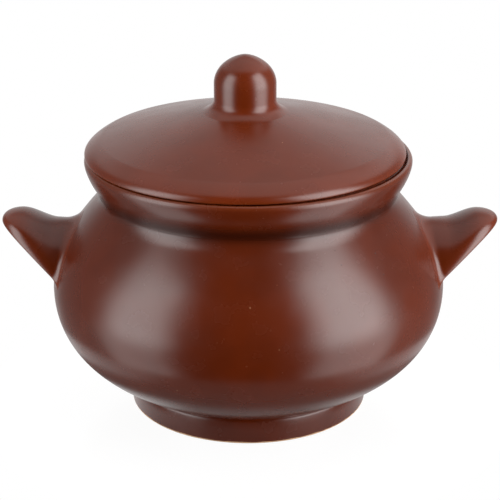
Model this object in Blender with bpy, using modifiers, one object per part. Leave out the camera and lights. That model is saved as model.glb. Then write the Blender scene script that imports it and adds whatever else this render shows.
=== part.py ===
"""Clay roasting pot: a round-bellied earthenware pot with two lug handles and a loose lid with a knob.

Metres, +Z up. The origin is on the surface that the pot stands on, at the centre of its foot ring. +X runs
through the right-hand lug and -Y is the front. Five pieces make up the pot, as a potter joins them before
firing: the thrown body, two luted lugs, the lid, and the knob luted on the lid. The lid is loose: it lifts
straight up off the rim.
"""

import math
from dataclasses import dataclass

import bmesh
import bpy
import numpy as np

# Body, outside: radii
FOOT_RADIUS = 0.0486
FOOT_COVE = 0.0037  # how far the cove above the foot stands out beyond the foot
BELLY_RADIUS = 0.0797
NECK_RADIUS = 0.0597
SHOULDER_SPREAD = 0.0039  # how far the end of the shoulder stands out beyond the neck
RIM_FLARE = 0.0046  # how far the top of the flare stands out beyond the neck
RIM_BAND_LEAN = 0.0011  # how far the band leans out over its height

# Body, outside: heights, each from the end of the one before it
FOOT_WALL_HEIGHT = 0.0088
FOOT_COVE_RISE = 0.0040
BELLY_LOWER_RISE = 0.0377
BELLY_UPPER_RISE = 0.0333
SHOULDER_RISE = 0.0055
RIM_FLARE_RISE = 0.0098
RIM_BAND_RISE = 0.0044
RIM_CREST_RISE = 0.0018

# Body, outside: how full its curves are, as shares of the rise of each, and slopes as radius over height
LOWER_FULLNESS = 0.59
LOWER_END_FULLNESS = 0.13
LOWER_END_SLOPE = 2.18
UPPER_FULLNESS = 0.57
UPPER_END_FULLNESS = 0.125
UPPER_END_SLOPE = 0.78
HOLLOW_FULLNESS = 0.45
FLARE_FULLNESS = 0.35
FLARE_SLOPE = 0.58

# Rim: places measured inwards from its widest circle
RIM_CREST_INSET = 0.0016
RIM_GROOVE_INSET = 0.0031
RIM_GROOVE_DEPTH = 0.0009
RIM_SEAT_INSET = 0.0044  # the outer edge of the flat ring that the lid rests on
RIM_SEAT_WIDTH = 0.0008
RIM_BEVEL_WIDTH = 0.0008  # how far the rounding inside the seat reaches into the mouth

# Body, inside and underneath
WALL = 0.0060
FLOOR_THICKNESS = 0.0085
FLOOR_FLATNESS = 0.45  # the share of the floor's radius that is nearly flat
FLOOR_TURN = 0.30  # the share of the floor's radius over which it turns up into the wall
FOOT_RING_WIDTH = 0.0070
FOOT_RECESS = 0.0035
FOOT_EDGE_ROUND = 0.0006

# Lid
LID_INSET = 0.0012  # how far the lid's edge lies inside the rim's widest circle
LID_SHIFT = 0.0012  # the loose lid sits this far to the left of the pot's axis
LID_EDGE_HEIGHT = 0.0009
LID_EDGE_ROUND = 0.0007
LID_TURN_WIDTH = 0.0070  # the rounding between the cone and the edge
LID_TURN_HEIGHT = 0.0057
LID_TURN_START = 0.20  # how far the rounding follows the cone, as a share of its width
LID_TURN_FULLNESS = 0.36
LID_CONE_SLOPE = 0.262  # height over radius
LID_CONE_BOW = 0.0005  # how far the cone bulges from a straight line
LID_THICKNESS = 0.0058
FLANGE_CLEARANCE = 0.0016  # between the flange and the narrowest circle inside the neck
FLANGE_DEPTH = 0.0075
FLANGE_THICKNESS = 0.0045
FLANGE_COVE = 0.0025

# Knob
KNOB_RADIUS = 0.0124
KNOB_SHANK = 0.0062
KNOB_DOME_RISE = 0.0118
KNOB_CROWN_FULLNESS = 0.24  # how flat the dome is on top, as a share of the radius
KNOB_SIDE_FULLNESS = 0.71  # how steep the dome's sides stay, as a share of its rise
KNOB_COVE = 0.0040
KNOB_SKIRT = 0.0005  # thickness of the feathered edge of the cove

# Lugs: reaches are measured outwards from the belly's widest circle, and heights up from it
LEFT_LUG_REACH = 0.0201
LEFT_SADDLE_REACH = -0.0021
LEFT_CREST_RISE = 0.0039
RIGHT_LUG_REACH = 0.0213
RIGHT_SADDLE_REACH = 0.0004
RIGHT_CREST_RISE = 0.0034
LUG_TIP_HEIGHT = 0.0271
LUG_SADDLE_DROP = 0.0004  # from the tip's height down to the saddle
LUG_CREST_INSET = 0.0077  # from the tip in to the crest
LUG_ROOT_WIDTH = 0.0430
LUG_ROOT_DEPTH = 0.0250  # how far inside the widest circle a lug's solid starts, before it is cut
LUG_OUTLINE_DEPTH = 0.0047  # how far inside the widest circle the lug starts to narrow
LUG_OUTLINE_POWER = 1.27
LUG_OUTLINE_ROUNDNESS = 0.47
LUG_EDGE_DROP = 0.0212  # the lower edge falls this far from the tip to where the lug starts to narrow
LUG_EDGE_POWER = 1.19
LUG_EDGE_DEPTH = 0.0020  # from the lower edge down to the underside
LUG_ROOT_ARCH = 1.75  # exponents of the arched section, at the root and at the tip
LUG_TIP_ARCH = 2.0
LUG_UNDERSIDE_ARCH = 4.0

# Fit between the pieces
SEAM_GAP = 0.0003

# Fineness of the facets. A multiple of four lets a turned piece touch its box on all four sides
BODY_STEPS = 64
KNOB_STEPS = 36
WALL_STEPS = (9, 7, 3, 4)  # along the lower belly, upper belly, hollow and flare of the outside
INSIDE_STEPS = (6, 5, 2, 3)
LUG_ARCH_POINTS = 16
LUG_UNDERSIDE_POINTS = 8
LUG_STATIONS = 14

# Levels and radii that follow from the sizes above
COVE_HEIGHT = FOOT_WALL_HEIGHT + FOOT_COVE_RISE
BELLY_HEIGHT = COVE_HEIGHT + BELLY_LOWER_RISE
SHOULDER_HEIGHT = BELLY_HEIGHT + BELLY_UPPER_RISE
NECK_HEIGHT = SHOULDER_HEIGHT + SHOULDER_RISE
FLARE_HEIGHT = NECK_HEIGHT + RIM_FLARE_RISE
BAND_HEIGHT = FLARE_HEIGHT + RIM_BAND_RISE
RIM_HEIGHT = BAND_HEIGHT + RIM_CREST_RISE
RIM_RADIUS = NECK_RADIUS + RIM_FLARE + RIM_BAND_LEAN

LID_RADIUS = RIM_RADIUS - LID_INSET
LID_SEAT_HEIGHT = RIM_HEIGHT + SEAM_GAP
LID_EDGE_TOP = LID_SEAT_HEIGHT + LID_EDGE_HEIGHT
LID_TURN_RADIUS = LID_RADIUS - LID_TURN_WIDTH
LID_TURN_TOP = LID_EDGE_TOP + LID_TURN_HEIGHT
KNOB_FOOT_RADIUS = KNOB_RADIUS + KNOB_COVE
LID_TOP = LID_TURN_TOP + LID_CONE_SLOPE * (LID_TURN_RADIUS - KNOB_FOOT_RADIUS)
FLANGE_RADIUS = NECK_RADIUS - WALL - FLANGE_CLEARANCE

LUG_TIP_LEVEL = BELLY_HEIGHT + LUG_TIP_HEIGHT
LUG_ROOT = BELLY_RADIUS - LUG_ROOT_DEPTH
LUG_OUTLINE_ROOT = BELLY_RADIUS - LUG_OUTLINE_DEPTH


def bezier(start, start_handle, end_handle, end, steps):
    """Points of a cubic Bezier curve, with both ends."""
    t = np.linspace(0.0, 1.0, steps + 1)[:, None]
    corners = [np.array(corner) for corner in (start, start_handle, end_handle, end)]
    weights = ((1 - t) ** 3, 3 * (1 - t) ** 2 * t, 3 * (1 - t) * t**2, t**3)
    return sum(weight * corner for weight, corner in zip(weights, corners))


def quarter_round(start, corner, end, steps):
    """Points of a quarter of an ellipse from start to end, tangent to the lines that meet at corner."""
    reach = 0.5523  # the handle length that makes a Bezier curve follow a circle
    start, corner, end = (np.array(point) for point in (start, corner, end))
    return bezier(start, start + reach * (corner - start), end + reach * (corner - end), end, steps)


def joined(*curves):
    """The curves one after the other, with no point twice in a row."""
    points = np.vstack(curves)
    moves = np.linalg.norm(np.diff(points, axis=0), axis=1) > 1e-6
    return points[np.concatenate([[True], moves])]


def offset(points, distance):
    """The curve moved sideways: to the left of its direction where distance is positive."""
    ahead = np.gradient(points, axis=0)
    ahead /= np.linalg.norm(ahead, axis=1)[:, None]
    return points + distance * np.stack([-ahead[:, 1], ahead[:, 0]], axis=1)


def outer_wall(steps):
    """The outer surface from the cove over the foot up to the flare of the rim, as radius and height."""
    lower_steps, upper_steps, hollow_steps, flare_steps = steps
    cove_end = (FOOT_RADIUS + FOOT_COVE, COVE_HEIGHT)
    widest = (BELLY_RADIUS, BELLY_HEIGHT)
    shoulder = (NECK_RADIUS + SHOULDER_SPREAD, SHOULDER_HEIGHT)
    neck = (NECK_RADIUS, NECK_HEIGHT)
    flare = (NECK_RADIUS + RIM_FLARE, FLARE_HEIGHT)
    lower_handle = LOWER_END_FULLNESS * BELLY_LOWER_RISE
    upper_handle = UPPER_END_FULLNESS * BELLY_UPPER_RISE
    hollow_handle = HOLLOW_FULLNESS * SHOULDER_RISE
    flare_handle = FLARE_FULLNESS * RIM_FLARE_RISE
    lower = bezier(
        cove_end,
        (cove_end[0] + LOWER_END_SLOPE * lower_handle, COVE_HEIGHT + lower_handle),
        (BELLY_RADIUS, BELLY_HEIGHT - LOWER_FULLNESS * BELLY_LOWER_RISE),
        widest,
        lower_steps,
    )
    upper = bezier(
        widest,
        (BELLY_RADIUS, BELLY_HEIGHT + UPPER_FULLNESS * BELLY_UPPER_RISE),
        (shoulder[0] + UPPER_END_SLOPE * upper_handle, SHOULDER_HEIGHT - upper_handle),
        shoulder,
        upper_steps,
    )
    hollow = bezier(
        shoulder,
        (shoulder[0] - UPPER_END_SLOPE * hollow_handle, SHOULDER_HEIGHT + hollow_handle),
        (NECK_RADIUS, NECK_HEIGHT - hollow_handle),
        neck,
        hollow_steps,
    )
    rise = bezier(
        neck,
        (NECK_RADIUS, NECK_HEIGHT + flare_handle),
        (flare[0] - FLARE_SLOPE * flare_handle, FLARE_HEIGHT - flare_handle),
        flare,
        flare_steps,
    )
    return joined(lower, upper, hollow, rise)


def rim_top(mouth_edge):
    """The rim from the edge of the mouth over the flat seat, the shallow groove and the crest to the band."""
    seat = RIM_RADIUS - RIM_SEAT_INSET
    groove = RIM_RADIUS - RIM_GROOVE_INSET
    crest = RIM_RADIUS - RIM_CREST_INSET
    inner_seat = seat - RIM_SEAT_WIDTH
    bottom = RIM_HEIGHT - RIM_GROOVE_DEPTH
    bevel = quarter_round(mouth_edge, (inner_seat - RIM_BEVEL_WIDTH, RIM_HEIGHT), (inner_seat, RIM_HEIGHT), 3)
    fall = (seat + groove) / 2
    inner_bank = bezier((seat, RIM_HEIGHT), (fall, RIM_HEIGHT), (fall, bottom), (groove, bottom), 3)
    climb = (groove + crest) / 2
    outer_bank = bezier((groove, bottom), (climb, bottom), (climb, RIM_HEIGHT), (crest, RIM_HEIGHT), 3)
    lip = quarter_round((crest, RIM_HEIGHT), (RIM_RADIUS, RIM_HEIGHT), (RIM_RADIUS, BAND_HEIGHT), 4)
    return joined(bevel, inner_bank, outer_bank, lip)


def body_profile():
    """The body's section, from the axis at the inner floor, over the rim and down the outside to the axis."""
    outside = outer_wall(WALL_STEPS)
    inside = offset(outer_wall(INSIDE_STEPS), WALL)
    floor_height = FOOT_RECESS + FLOOR_THICKNESS
    floor_edge, floor_rise = inside[0]
    floor_turn = FLOOR_TURN * floor_edge
    floor = bezier(
        (0.0, floor_height),
        (FLOOR_FLATNESS * floor_edge, floor_height),
        (floor_edge - floor_turn, floor_rise - floor_turn / LOWER_END_SLOPE),
        inside[0],
        4,
    )
    cove_corner = (FOOT_RADIUS, COVE_HEIGHT - FOOT_COVE / LOWER_END_SLOPE)
    cove = quarter_round(outside[0], cove_corner, (FOOT_RADIUS, FOOT_WALL_HEIGHT), 3)
    edge = quarter_round(
        (FOOT_RADIUS, FOOT_EDGE_ROUND), (FOOT_RADIUS, 0.0), (FOOT_RADIUS - FOOT_EDGE_ROUND, 0.0), 2
    )
    ring_inside = FOOT_RADIUS - FOOT_RING_WIDTH
    recess = [
        (ring_inside + FOOT_EDGE_ROUND, 0.0),
        (ring_inside, FOOT_EDGE_ROUND),
        (ring_inside - FOOT_EDGE_ROUND, FOOT_RECESS - FOOT_EDGE_ROUND),
        (ring_inside - 2 * FOOT_EDGE_ROUND, FOOT_RECESS),
        (0.0, FOOT_RECESS),
    ]
    return joined(floor, inside, rim_top(inside[-1]), outside[::-1], cove, edge, recess)


def lid_cone(drop):
    """The lid's slightly bowed cone, from under the knob out to its rounding, lowered by drop."""
    start = np.array((KNOB_FOOT_RADIUS, LID_TOP - drop))
    end = np.array((LID_TURN_RADIUS, LID_TURN_TOP - drop))
    bow = np.array((0.0, LID_CONE_BOW))
    return bezier(start, start + (end - start) / 3 + bow, end - (end - start) / 3 + bow, end, 4)


def lid_profile():
    """The lid's section, from the axis at its top, down its outside, round the flange and back."""
    seat = LID_SEAT_HEIGHT
    follow = LID_TURN_START * LID_TURN_WIDTH
    turn = bezier(
        (LID_TURN_RADIUS, LID_TURN_TOP),
        (LID_TURN_RADIUS + follow, LID_TURN_TOP - follow * LID_CONE_SLOPE),
        (LID_RADIUS, LID_EDGE_TOP + LID_TURN_FULLNESS * LID_TURN_HEIGHT),
        (LID_RADIUS, LID_EDGE_TOP),
        6,
    )
    edge = quarter_round(
        (LID_RADIUS, seat + LID_EDGE_ROUND), (LID_RADIUS, seat), (LID_RADIUS - LID_EDGE_ROUND, seat), 2
    )
    root = quarter_round(
        (FLANGE_RADIUS + FLANGE_COVE, seat), (FLANGE_RADIUS, seat), (FLANGE_RADIUS, seat - FLANGE_COVE), 3
    )
    flange_bottom = seat - FLANGE_DEPTH
    flange_inside = FLANGE_RADIUS - FLANGE_THICKNESS
    flange_middle = FLANGE_RADIUS - FLANGE_THICKNESS / 2
    round_start = flange_bottom + FLANGE_THICKNESS / 2
    toe = quarter_round(
        (FLANGE_RADIUS, round_start), (FLANGE_RADIUS, flange_bottom), (flange_middle, flange_bottom), 3
    )
    heel = quarter_round(
        (flange_middle, flange_bottom), (flange_inside, flange_bottom), (flange_inside, round_start), 3
    )
    hollow_edge = flange_inside - FLANGE_COVE
    underside = lid_cone(LID_THICKNESS)[::-1]
    underside = underside[underside[:, 0] < hollow_edge - FLANGE_COVE]
    hollow_edge_height = LID_TURN_TOP + LID_CONE_SLOPE * (LID_TURN_RADIUS - hollow_edge) - LID_THICKNESS
    ceiling = quarter_round(
        (flange_inside, hollow_edge_height - FLANGE_COVE),
        (flange_inside, hollow_edge_height - FLANGE_COVE * LID_CONE_SLOPE),
        (hollow_edge, hollow_edge_height),
        3,
    )
    top, bottom = (0.0, LID_TOP), (0.0, LID_TOP - LID_THICKNESS)
    return joined([top], lid_cone(0.0), turn, edge, root, toe, heel, ceiling, underside, [bottom])


def knob_profile():
    """The knob's section, from its top down its outside to its flat underside, which lies on the lid."""
    bottom = LID_TOP + SEAM_GAP
    skirt_top = bottom + KNOB_SKIRT
    shank_bottom = skirt_top + KNOB_COVE
    shank_top = shank_bottom + KNOB_SHANK
    top = shank_top + KNOB_DOME_RISE
    dome = bezier(
        (0.0, top),
        (KNOB_CROWN_FULLNESS * KNOB_RADIUS, top),
        (KNOB_RADIUS, shank_top + KNOB_SIDE_FULLNESS * KNOB_DOME_RISE),
        (KNOB_RADIUS, shank_top),
        9,
    )
    skirt_edge = (KNOB_FOOT_RADIUS, skirt_top)
    cove = quarter_round((KNOB_RADIUS, shank_bottom), (KNOB_RADIUS, skirt_top), skirt_edge, 5)
    return joined(dome, cove, [(KNOB_FOOT_RADIUS, bottom), (0.0, bottom)])


@dataclass(frozen=True)
class Lug:
    """One lug handle: a thick tongue of clay that sweeps out from the belly and up to a rounded tip."""

    name: str
    side: int  # +1 on the right, -1 on the left
    reach: float
    saddle_reach: float
    crest_rise: float

    @property
    def tip(self):
        """The distance of the tip from the pot's axis."""
        return BELLY_RADIUS + self.reach

    def crest_height(self, distance):
        """The top of the lug at a distance from the pot's axis: a saddle, a climb and a fall to the tip."""
        saddle = BELLY_RADIUS + self.saddle_reach
        crest = self.tip - LUG_CREST_INSET
        if distance > crest:
            fall = (distance - crest) / LUG_CREST_INSET
            return LUG_TIP_LEVEL + self.crest_rise * math.sqrt(max(0.0, 1.0 - fall * fall))
        climb = min(max((distance - saddle) / (crest - saddle), 0.0), 1.0)
        smooth_climb = climb * climb * (3.0 - 2.0 * climb)
        return LUG_TIP_LEVEL - LUG_SADDLE_DROP + (self.crest_rise + LUG_SADDLE_DROP) * smooth_climb

    def edge_height(self, distance):
        """The height of the edge round the underside, which falls from the tip towards the belly."""
        share = (self.tip - distance) / (self.tip - LUG_OUTLINE_ROOT)
        return LUG_TIP_LEVEL - LUG_EDGE_DROP * share**LUG_EDGE_POWER

    def narrowing(self, distance):
        """The lug's width at a distance, as a share of its width at the root: a rounded tongue."""
        out = max((distance - LUG_OUTLINE_ROOT) / (self.tip - LUG_OUTLINE_ROOT), 0.0)
        return max(0.0, 1.0 - out**LUG_OUTLINE_POWER) ** LUG_OUTLINE_ROUNDNESS

    def section(self, distance):
        """One closed section across the lug: an arch over a nearly flat underside, as y and z."""
        narrowing = self.narrowing(distance)
        half_width = LUG_ROOT_WIDTH / 2 * narrowing
        depth = LUG_EDGE_DEPTH * math.sqrt(narrowing)
        edge = self.edge_height(distance)
        along = (distance - LUG_OUTLINE_ROOT) / (self.tip - LUG_OUTLINE_ROOT)
        arch = LUG_ROOT_ARCH + (LUG_TIP_ARCH - LUG_ROOT_ARCH) * max(along, 0.0)
        over = np.linspace(0.0, math.pi, LUG_ARCH_POINTS + 1)[:-1]
        under = np.linspace(math.pi, 2 * math.pi, LUG_UNDERSIDE_POINTS + 1)[:-1]
        y_over = half_width * np.sign(np.cos(over)) * np.abs(np.cos(over)) ** (2 / arch)
        z_over = edge + (self.crest_height(distance) - edge) * np.sin(over) ** (2 / arch)
        y_under = half_width * np.sign(np.cos(under)) * np.abs(np.cos(under)) ** (2 / LUG_UNDERSIDE_ARCH)
        z_under = edge - depth * np.abs(np.sin(under))
        return np.column_stack([np.concatenate([y_over, y_under]), np.concatenate([z_over, z_under])])

    def distances(self):
        """Distances of the sections from the pot's axis: one deep inside, then ever closer to the tip."""
        turns = np.linspace(0.0, math.pi / 2, LUG_STATIONS + 1)[:-1]
        return [LUG_ROOT, *(LUG_OUTLINE_ROOT + (self.tip - LUG_OUTLINE_ROOT) * np.sin(turns))]

    def mesh(self):
        """The lug as a loft of its sections, from inside the wall out to the tip."""
        shape = bmesh.new()
        rings = []
        for distance in self.distances():
            rings.append([shape.verts.new((self.side * distance, y, z)) for y, z in self.section(distance)])
        tip = shape.verts.new((self.side * self.tip, 0.0, LUG_TIP_LEVEL))
        count = len(rings[0])
        shape.faces.new(rings[0])
        for near, far in zip(rings, rings[1:]):
            for i in range(count):
                j = (i + 1) % count
                shape.faces.new((near[i], near[j], far[j], far[i]))
        for i in range(count):
            shape.faces.new((rings[-1][i], rings[-1][(i + 1) % count], tip))
        bmesh.ops.recalc_face_normals(shape, faces=shape.faces)
        mesh = bpy.data.meshes.new(self.name)
        shape.to_mesh(mesh)
        shape.free()
        return mesh


LUGS = (
    Lug("handle_left", -1, LEFT_LUG_REACH, LEFT_SADDLE_REACH, LEFT_CREST_RISE),
    Lug("handle_right", 1, RIGHT_LUG_REACH, RIGHT_SADDLE_REACH, RIGHT_CREST_RISE),
)


def clay_material(name, colour, roughness):
    """Fired clay under a brown slip, satin and not metallic."""
    material = bpy.data.materials.new(name)
    material.use_nodes = True
    shader = material.node_tree.nodes["Principled BSDF"]
    shader.inputs["Base Color"].default_value = (*colour, 1.0)
    shader.inputs["Roughness"].default_value = roughness
    shader.inputs["Metallic"].default_value = 0.0
    return material


def add_object(name, mesh, collection, material=None):
    """A new object of this mesh, shaded smooth with its sharp edges kept."""
    obj = bpy.data.objects.new(name, mesh)
    collection.objects.link(obj)
    if material is not None:
        mesh.materials.append(material)
    mesh.shade_smooth()
    mesh.set_sharp_from_angle(angle=math.radians(40))
    return obj


def turned(name, profile, steps, collection, material=None):
    """A solid of revolution: the profile as a line in the XZ plane, with a Screw modifier round Z."""
    mesh = bpy.data.meshes.new(name)
    corners = [(radius, 0.0, height) for radius, height in profile]
    mesh.from_pydata(corners, [(i, i + 1) for i in range(len(corners) - 1)], [])
    obj = add_object(name, mesh, collection, material)
    screw = obj.modifiers.new("Turn", "SCREW")
    screw.axis = "Z"
    screw.angle = 2 * math.pi
    screw.steps = steps
    screw.render_steps = steps
    screw.use_merge_vertices = True
    screw.merge_threshold = 0.00002
    return obj


def belly_cutter(collection):
    """The outside of the body grown by the seam gap, which trims the root of each lug to the belly."""
    grown = offset(outer_wall(WALL_STEPS), -SEAM_GAP)[::-1]
    profile = joined([(0.0, grown[0, 1])], grown, [(0.0, grown[-1, 1])])
    cutter = turned("belly_cutter", profile, BODY_STEPS, collection)
    cutter.hide_render = True
    cutter.display_type = "WIRE"
    return cutter


def new_collection(name):
    """A collection in the scene."""
    collection = bpy.data.collections.new(name)
    bpy.context.scene.collection.children.link(collection)
    return collection


def build_pot():
    """Clears the scene and makes the five pieces, the lid's under an empty on its lifting axis."""
    for obj in list(bpy.data.objects):
        bpy.data.objects.remove(obj, do_unlink=True)
    pieces = new_collection("clay_roasting_pot")
    helpers = new_collection("cutters")

    body_slip = clay_material("body_slip", (0.130, 0.036, 0.018), 0.42)
    turned("pot_body", body_profile(), BODY_STEPS, pieces, body_slip)
    cutter = belly_cutter(helpers)
    for lug in LUGS:
        slip = clay_material(lug.name + "_slip", (0.120, 0.034, 0.018), 0.42)
        handle = add_object(lug.name, lug.mesh(), pieces, slip)
        trim = handle.modifiers.new("Trim to belly", "BOOLEAN")
        trim.operation = "DIFFERENCE"
        trim.solver = "EXACT"
        trim.object = cutter

    lift_axis = bpy.data.objects.new("lid_lift_axis", None)
    lift_axis.location = (-LID_SHIFT, 0.0, 0.0)
    pieces.objects.link(lift_axis)
    lid_slip = clay_material("lid_slip", (0.140, 0.042, 0.024), 0.40)
    lid = turned("lid", lid_profile(), BODY_STEPS, pieces, lid_slip)
    knob_slip = clay_material("knob_slip", (0.125, 0.036, 0.019), 0.38)
    knob = turned("lid_knob", knob_profile(), KNOB_STEPS, pieces, knob_slip)
    lid.parent = lift_axis
    knob.parent = lift_axis


build_pot()
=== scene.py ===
"""Looks of a clay roasting pot: round-bellied earthenware with two lug handles and a loose knobbed lid.

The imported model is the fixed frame. Every surface that shows is replaced by a finer one, worked out from the
same sizes: turned surfaces for the thrown body, lid and knob, and lofted ones for the two lugs, which flow
into the belly through a smoothed seam. The classes hold millimetres, and the meshes are in metres.
"""

import logging
import math
from dataclasses import dataclass
from enum import Enum
from typing import NamedTuple

import bpy
import numpy as np
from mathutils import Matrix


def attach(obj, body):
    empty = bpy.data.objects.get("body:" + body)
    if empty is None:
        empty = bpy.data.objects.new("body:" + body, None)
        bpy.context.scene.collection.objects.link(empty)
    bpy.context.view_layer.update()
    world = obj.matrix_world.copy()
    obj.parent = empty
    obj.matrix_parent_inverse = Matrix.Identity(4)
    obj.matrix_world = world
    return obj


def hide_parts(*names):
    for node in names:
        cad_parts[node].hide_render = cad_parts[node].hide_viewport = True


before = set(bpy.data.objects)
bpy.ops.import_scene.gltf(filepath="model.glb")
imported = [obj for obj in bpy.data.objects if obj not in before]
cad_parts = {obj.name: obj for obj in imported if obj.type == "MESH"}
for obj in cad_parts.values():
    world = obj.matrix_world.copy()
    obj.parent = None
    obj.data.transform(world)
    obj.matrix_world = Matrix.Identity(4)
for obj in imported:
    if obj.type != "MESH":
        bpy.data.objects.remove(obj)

LOG = logging.getLogger("clay_roasting_pot")
METRES = 0.001  # a millimetre in metres

Curve = np.ndarray
Mesh = bpy.types.Mesh
Material = bpy.types.Material
Socket = bpy.types.NodeSocket
Tree = bpy.types.NodeTree
Look = tuple[Socket, Socket]  # a colour and a roughness
Span = tuple[float, ...]  # where an eased step starts and ends, and its values there if not 0 and 1

# The settings of the nodes that are used again and again.
EASED = {"interpolation_type": "SMOOTHSTEP"}
COLOURS = {"data_type": "RGBA"}  # a Mix node then takes its colours at 6 and 7 and gives the blend at 2
PRODUCT = {"operation": "MULTIPLY"}
SCALED = {"operation": "MULTIPLY_ADD"}
SUM = {"operation": "ADD"}
GREATER = {"operation": "MAXIMUM"}


class Carrier(Enum):
    """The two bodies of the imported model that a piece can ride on."""

    POT = "pot"
    LID = "lid"


def bezier(start: Curve, start_handle: Curve, end_handle: Curve, end: Curve, steps: int) -> Curve:
    """Points of a cubic Bezier curve, both ends included.

    The curve is the mean of its four corners with the weights (1-t)^3, 3(1-t)^2 t, 3(1-t) t^2 and t^3.

    Args:
        start: Where the curve starts, as radius and height.
        start_handle: The corner that the curve leaves its start towards.
        end_handle: The corner that the curve reaches its end from.
        end: Where the curve ends.
        steps: The number of pieces that the curve is cut into.

    Returns:
        An array of steps + 1 points.
    """
    t = np.linspace(0.0, 1.0, steps + 1)[:, None]
    corners = np.array([start, start_handle, end_handle, end], dtype=float)
    weights = np.hstack([(1 - t) ** 3, 3 * (1 - t) ** 2 * t, 3 * (1 - t) * t**2, t**3])
    return weights @ corners


def rounded(start: Curve, corner: Curve, end: Curve, steps: int, reach: float = 0.5523) -> Curve:
    """A corner rounded off between two points. With a reach of 0.5523 it is a quarter of an ellipse."""
    first, turn, last = (np.array(point, dtype=float) for point in (start, corner, end))
    return bezier(first, first + reach * (turn - first), last + reach * (turn - last), last, steps)


def straight(start: Curve, end: Curve, steps: int) -> Curve:
    """Points of a straight line, both ends included."""
    return np.linspace(np.array(start, dtype=float), np.array(end, dtype=float), steps + 1)


def joined(*curves: Curve) -> Curve:
    """The curves one after the other, with no point twice in a row."""
    points = np.vstack([np.atleast_2d(curve) for curve in curves])
    moves = np.linalg.norm(np.diff(points, axis=0), axis=1) > 1e-4
    return points[np.concatenate([[True], moves])]


def offset(points: Curve, distance: float) -> Curve:
    """The curve moved sideways by a distance, to the left of its direction where it is positive."""
    ahead = np.gradient(points, axis=0)
    ahead /= np.linalg.norm(ahead, axis=1)[:, None]
    return points + distance * np.stack([-ahead[:, 1], ahead[:, 0]], axis=1)


def bends_of(profile: Curve, reach: float) -> np.ndarray:
    """How strongly a turned section bends at each point: positive on edges, negative in hollows, 0 on flats.

    The bend is the change of direction in radians per millimetre, averaged along the section with a Gaussian
    weight. A section turns by half a turn in all, and the bends with that turn's sign are its edges.

    Args:
        profile: The section, as radius and height in millimetres.
        reach: The standard deviation of the weight, in millimetres along the section.

    Returns:
        One number for each point.
    """
    moves = np.diff(profile, axis=0)
    along = np.concatenate([[0.0], np.cumsum(np.linalg.norm(moves, axis=1))])
    angles = np.unwrap(np.arctan2(moves[:, 1], moves[:, 0]))
    bends = np.pad(np.diff(angles), 1)
    weights = np.exp(-0.5 * ((along[:, None] - along[None, :]) / reach) ** 2)
    spread = weights @ bends / (reach * math.sqrt(math.tau))
    return spread * np.sign(bends.sum())


def ring_mesh(name: str, rings: np.ndarray, start: Curve, end: Curve) -> Mesh:
    """A closed mesh over a grid of rings, with a fan from its first ring and one from its last.

    Args:
        name: The name of the mesh.
        rings: An array of rings, points on a ring, and x, y, z in millimetres.
        start: The point that closes the first ring.
        end: The one that closes the last.

    Returns:
        The mesh in metres, its faces pointing outwards.
    """
    points = np.vstack([rings.reshape(-1, 3), start, end])
    here = np.arange(len(points) - 2).reshape(rings.shape[:2])
    after = np.roll(here, -1, axis=1)
    first, last = (np.full_like(here[0], number) for number in (len(points) - 2, len(points) - 1))
    quads = np.stack([here[:-1], after[:-1], after[1:], here[1:]], axis=-1).reshape(-1, 4)
    fans = np.vstack([
        np.column_stack([after[0], here[0], first, first]),
        np.column_stack([here[-1], after[-1], last, last]),
    ])
    faces = quads.tolist() + fans[:, :3].tolist()
    halves = points[np.vstack([quads, fans])][:, [[0, 1, 2], [0, 2, 3]]]
    # The sum is six times the volume, and negative where the faces point inwards.
    if np.linalg.det(halves).sum() < 0:
        faces = [face[::-1] for face in faces]
    mesh = bpy.data.meshes.new(name)
    mesh.from_pydata((points * METRES).tolist(), [], faces)
    mesh.shade_smooth()
    mesh.update()
    return mesh


def store(mesh: Mesh, name: str, values: np.ndarray, around: int = 1) -> None:
    """Keeps a section's numbers on every point of its circles, the first and the last on the two ends."""
    spread = np.concatenate([np.repeat(values[1:-1], around), values[[0, -1]]])
    mesh.attributes.new(name, "FLOAT", "POINT").data.foreach_set("value", spread.astype(np.float32))


def turned_mesh(name: str, profile: Curve, around: int, centre: float = 0.0, **values: np.ndarray) -> Mesh:
    """A closed surface of revolution.

    A point of the profile at radius r and height z becomes the circle (centre + r cos a, r sin a, z).

    Args:
        name: The name of the mesh.
        profile: Radius and height in millimetres, starting and ending on the axis.
        around: The number of points on each circle.
        centre: Where the axis stands along x, in millimetres.
        values: Numbers for the points of the profile, which the mesh keeps as attributes.

    Returns:
        The mesh in metres.
    """
    angles = np.arange(around) * math.tau / around
    radius, height = profile[1:-1, :, None].transpose(1, 0, 2)
    circles = np.broadcast_arrays(centre + radius * np.cos(angles), radius * np.sin(angles), height)
    start, end = ((centre, 0.0, level) for level in profile[[0, -1], 1])
    mesh = ring_mesh(name, np.stack(circles, axis=-1), start, end)
    for kept, numbers in values.items():
        store(mesh, kept, numbers, around)
    return mesh


def shown(name: str, data: bpy.types.ID) -> bpy.types.Object:
    """A new object in the scene that holds a mesh, a lamp or a camera."""
    made = bpy.data.objects.new(name, data)
    bpy.context.scene.collection.objects.link(made)
    return made


def placed(mesh: Mesh, material: Material, carrier: Carrier, node: str) -> None:
    """Puts a mesh in the scene as the piece that stands for a node and moves with its body.

    Args:
        mesh: The finished mesh, whose name the piece takes.
        material: Its finish.
        carrier: The body that it rides on.
        node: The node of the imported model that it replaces.
    """
    mesh.materials.append(material)
    piece = shown(mesh.name, mesh)
    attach(piece, carrier.value)
    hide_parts(node)
    LOG.info("%s: %d points, on %s, for %s", piece.name, len(mesh.vertices), carrier.value, node)


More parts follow.
